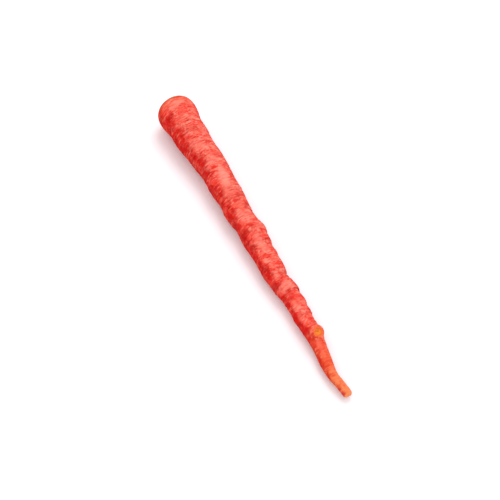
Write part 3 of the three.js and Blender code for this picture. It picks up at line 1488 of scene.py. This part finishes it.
@dataclass
class SkinPaint:
    """The skin's colour, laid on in layers that share their noises and masks: its own reds, blotches and
    marks, with painted sheen on the side that faces the key lamp and painted shade in the creases and on the
    far flank.
    """

    board: Board
    finish: CarrotFinish

    def __post_init__(self) -> None:
        """Adds the noises and masks that more than one layer reads."""
        board = self.board
        self.patches = board.noise(board.places((0.8, 1, 1)), scale=190, detail=3.0, rough=0.55)
        self.streaks = board.noise(board.places((1, 0.34, 0.34)), scale=300, detail=3.0, rough=0.6, warp=0.7)
        ragged = board.places((1, 0.42, 0.42), (0.2, 0.1, 0.4))
        self.shreds = board.noise(ragged, scale=360, detail=4.0, rough=0.6, warp=1.0)
        # The mask of the side that faces the key lamp, where sheen is painted.
        self.lit = board.mark("bloom_and_sheen")
        self.tail = board.mark("tail")
        # Pale smooth patches, partly a painted highlight.
        self.dry_sheen_patch = board.mark("dry_sheen")
        broad = board.places((0.9, 1, 1), (0.3, 0.8, 0.5))
        blotches = board.noise(broad, scale=150, detail=2.0, rough=0.5, warp=0.5)
        # Deep red blotches, stronger away from the lit side: real blotches with painted shade.
        self.blotch_shade = board.between(blotches, 0.56, 0.4) * (0.9 - 0.45 * self.lit)

    def colour(self) -> Paint:
        """Lays on every layer in turn."""
        colour = self.reds()
        for layer in (self.dried_and_sheened, self.fresh_and_shade, self.spotted, self.weathered_and_rim_shade):
            colour = layer(colour)
        return colour

    def reds(self) -> Paint:
        """The reds in patches, turning orange towards the tail."""
        board, finish = self.board, self.finish
        colour = board.mix(finish.deep_red, finish.bright_red, board.between(self.patches, 0.4, 0.56))
        orange = self.tail * board.between(self.patches, 0.25, 0.6, 0.35, 0.95)
        return board.mix(colour, finish.tail_orange, orange)

    def dried_and_sheened(self, colour: Paint) -> Paint:
        """Lays coral and a pale bloom on the side that faces the key lamp and on the ridges' tops, as painted
        sheen over a little real bloom elsewhere; pales the end of the tail; and lays the pale colour on the
        dry patches, partly as a painted highlight.

        Args:
            colour: The colour so far.

        Returns:
            The new colour.
        """
        board, finish = self.board, self.finish
        # Painted sheen: coral and the pale bloom laid mostly on the side facing the key lamp, and on the
        # ridges' tops as a painted highlight.
        sheen_side = (0.25 + 0.75 * self.lit) * (1 - self.blotch_shade)
        coral_sheen = board.mix(finish.coral_sheen, finish.tail_coral_sheen, self.tail)
        colour = board.mix(colour, coral_sheen, sheen_side * board.between(self.streaks, 0.45, 0.53, 0.25, 1))
        flakes = board.between(self.shreds, 0.49, 0.56, 0, 0.8) + 0.5 * board.mark("ridge")
        bloom_and_sheen = board.mix(finish.bloom_and_sheen, finish.tail_bloom_and_sheen, self.tail)
        colour = board.mix(colour, bloom_and_sheen, sheen_side * flakes * (1 - 0.35 * self.tail))
        paling = board.mark("tail_end") * board.between(self.patches, 0.38, 0.58, 0.35, 0.85)
        colour = board.mix(colour, finish.tip_orange, paling)
        # Painted highlight, partly: the dry patches laid pale.
        parched_sheen = self.dry_sheen_patch * board.between(self.streaks, 0.3, 0.6, 0.7, 1)
        return board.mix(colour, finish.bloom_and_sheen, parched_sheen)

    def fresh_and_shade(self, colour: Paint) -> Paint:
        """Lays deep red on the fresh patches, partly the skin's own deeper red and partly painted shade, and
        on blotches away from the lit side, as painted shade.

        Args:
            colour: The colour so far.

        Returns:
            The new colour.
        """
        board, deep_red = self.board, self.finish.deep_red
        fresh_and_shade_patch = board.mark("fresh_and_shade") * board.between(self.shreds, 0.35, 0.6, 1, 0.7)
        colour = board.mix(colour, deep_red, fresh_and_shade_patch)
        # Painted shade: deep red on the blotches on the side away from the key lamp.
        return board.mix(colour, deep_red, self.blotch_shade * (1 - self.lit) * 0.85)

    def spotted(self, colour: Paint) -> Paint:
        """Lays on pale specks and scars, then dark flecks, fewer on the lit side, and painted shade in the
        creases.

        Args:
            colour: The colour so far.

        Returns:
            The new colour.
        """
        board, finish = self.board, self.finish
        specks = board.noise(board.places((1, 0.45, 0.45)), scale=1100, detail=2.0, rough=0.6)
        speckled = board.between(specks, 0.64, 0.76, 0, 0.45) * (1 - self.blotch_shade)
        colour = board.mix(colour, finish.scar, speckled)
        colour = board.mix(colour, finish.scar, board.mark("scar") * 0.75)
        dashed = board.places((1, 0.45, 0.45), (0.7, 0.3, 0.1))
        flecks = board.noise(dashed, scale=380, detail=3.0, rough=0.6, warp=0.6)
        # Dark flecks, fewer on the side that faces the lamp: real flecks with painted shade.
        flecks_and_shade = board.between(flecks, 0.53, 0.6, 0, 0.65) * (1 - 0.8 * self.tail)
        flecks_and_shade = flecks_and_shade * (1 - 0.8 * self.dry_sheen_patch) * (1 - 0.45 * self.lit)
        colour = board.mix(colour, finish.groove_shade, flecks_and_shade)
        # Painted shade: the creases laid dark, a little less on the lit side.
        return board.mix(colour, finish.groove_shade, board.mark("crease") * (0.85 - 0.2 * self.lit))

    def weathered_and_rim_shade(self, colour: Paint) -> Paint:
        """Lays on the shoulder's orange and olive, the brown rim, which is partly painted shade along the
        crown's edge, and the stains.

        Args:
            colour: The colour so far.

        Returns:
            The new colour.
        """
        board, finish = self.board, self.finish
        shoulder = board.mark("shoulder")
        orange = shoulder * board.between(self.streaks, 0.4, 0.6, 0.2, 0.6)
        colour = board.mix(colour, finish.shoulder_orange, orange)
        olive = board.between(shoulder, 0.6, 1) * board.between(self.patches, 0.36, 0.6, 0.15, 0.7)
        colour = board.mix(colour, finish.shoulder_olive, olive)
        # Partly painted shade: the crown's rim laid dark brown.
        rim = board.mark("rim") * board.between(self.shreds, 0.35, 0.6, 0.25, 0.75)
        return board.mix(colour, finish.rim_brown_shade, rim + board.mark("stain"))


# ---------------------------------------------------------------- studio


@dataclass(frozen=True)
class SoftBox:
    """A square lamp that casts soft shadows, with its place given from what it looks at."""

    name: str
    azimuth: float
    elevation: float
    distance: float
    size: float
    power: float

    def place(self, aim: Vector) -> None:
        """Adds the lamp.

        Args:
            aim: The place it looks at.
        """
        deselect_everything()
        way = direction(self.azimuth, self.elevation)
        bpy.ops.object.light_add(type="AREA", location=aim + way * self.distance)
        lamp = bpy.context.object
        lamp.name = self.name
        lamp.rotation_euler = (-way).to_track_quat("-Z", "Y").to_euler()
        lamp.data.shape = "SQUARE"
        lamp.data.size = self.size
        lamp.data.energy = self.power


def direction(azimuth: float, elevation: float) -> Vector:
    """The way from the carrot to a watcher.

    Args:
        azimuth: The watcher's turn round +Z in degrees. At 0 the watcher looks along +Y.
        elevation: How far above the horizon the watcher is, in degrees.

    Returns:
        A unit vector.
    """
    turn, lift = math.radians(azimuth), math.radians(elevation)
    return Vector((math.sin(turn) * math.cos(lift), -math.cos(turn) * math.cos(lift), math.sin(lift)))


@dataclass(frozen=True)
class Studio:
    """A white floor, an even white surround, one large key lamp and the camera."""

    azimuth: float = 64.0
    elevation: float = 52.0
    distance: float = 1.1
    lens: float = 104.0
    aim: Triple = (-0.4 * MM, -2.8 * MM, -0.7 * MM)
    surround: float = 1.08
    surround_colour: Colour = (1.0, 0.97, 1.0, 1.0)
    floor_colour: Colour = (0.93, 0.93, 0.93, 1.0)
    mirrored_floor: Colour = (0.12, 0.1, 0.1, 1.0)
    floor_size: float = 6.0
    lamp: SoftBox = SoftBox("key lamp", azimuth=228, elevation=58, distance=1.2, size=0.6, power=4.6)

    def build(self) -> None:
        """Sets up the floor, the light and the camera."""
        self.lay_floor()
        self.light_surround()
        self.lamp.place(Vector(self.aim))
        self.set_camera()
        bpy.context.scene.view_settings.view_transform = "Standard"

    def lay_floor(self) -> None:
        """Lays the white floor, which looks dark to a reflection so that the skin's red stays deep."""
        deselect_everything()
        bpy.ops.mesh.primitive_plane_add(size=self.floor_size, location=(0, 0, 0))
        floor = bpy.context.object
        floor.name = "studio_floor"
        bpy.ops.object.mode_set(mode="EDIT")
        bpy.ops.mesh.subdivide(number_cuts=3)
        bpy.ops.object.mode_set(mode="OBJECT")
        material = bpy.data.materials.new("white floor")
        board = Board(material)
        mirrored = board.node("ShaderNodeLightPath", {}, {}).outputs["Is Glossy Ray"]
        matt = {"Base Color": self.floor_colour, "Roughness": 0.75, "Specular IOR Level": 0.2}
        card = board.node("ShaderNodeBsdfPrincipled", {}, matt)
        shade = board.node("ShaderNodeBsdfDiffuse", {}, {"Color": self.mirrored_floor})
        either = {0: mirrored, 1: card.outputs[0], 2: shade.outputs[0]}
        shader = board.node("ShaderNodeMixShader", {}, either)
        board.node("ShaderNodeOutputMaterial", {}, {"Surface": shader.outputs[0]})
        floor.data.materials.append(material)

    def light_surround(self) -> None:
        """Makes the surround an even white, which a reflection sees as black so that the red stays deep."""
        world = bpy.data.worlds.new("white surround")
        bpy.context.scene.world = world
        board = Board(world)
        mirrored = Value(board, board.node("ShaderNodeLightPath", {}, {}).outputs["Is Glossy Ray"])
        light = {"Color": self.surround_colour, "Strength": self.surround * (1 - mirrored)}
        background = board.node("ShaderNodeBackground", {}, light)
        board.node("ShaderNodeOutputWorld", {}, {"Surface": background.outputs[0]})

    def set_camera(self) -> None:
        """Puts the camera above the floor on the tail's side, looking down at the carrot."""
        deselect_everything()
        way = direction(self.azimuth, self.elevation)
        bpy.ops.object.camera_add(location=Vector(self.aim) + way * self.distance)
        camera = bpy.context.object
        camera.name = "studio camera"
        camera.rotation_euler = (-way).to_track_quat("-Z", "Y").to_euler()
        camera.data.lens = self.lens
        camera.data.sensor_width = 36.0
        camera.data.clip_start, camera.data.clip_end = 0.01, 50.0
        bpy.context.scene.camera = camera


# ---------------------------------------------------------------- everything together


def main() -> None:
    """Builds the studio and the carrot."""
    logging.basicConfig(level=logging.INFO, format="%(message)s")
    Studio().build()
    form = GrownForm(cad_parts["carrot_root"])
    carrot = Carrot(form).build()
    carrot.data.materials.append(CarrotFinish().material())
    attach(carrot, "root")
    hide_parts("carrot_root")


if __name__ == "__main__":
    main()
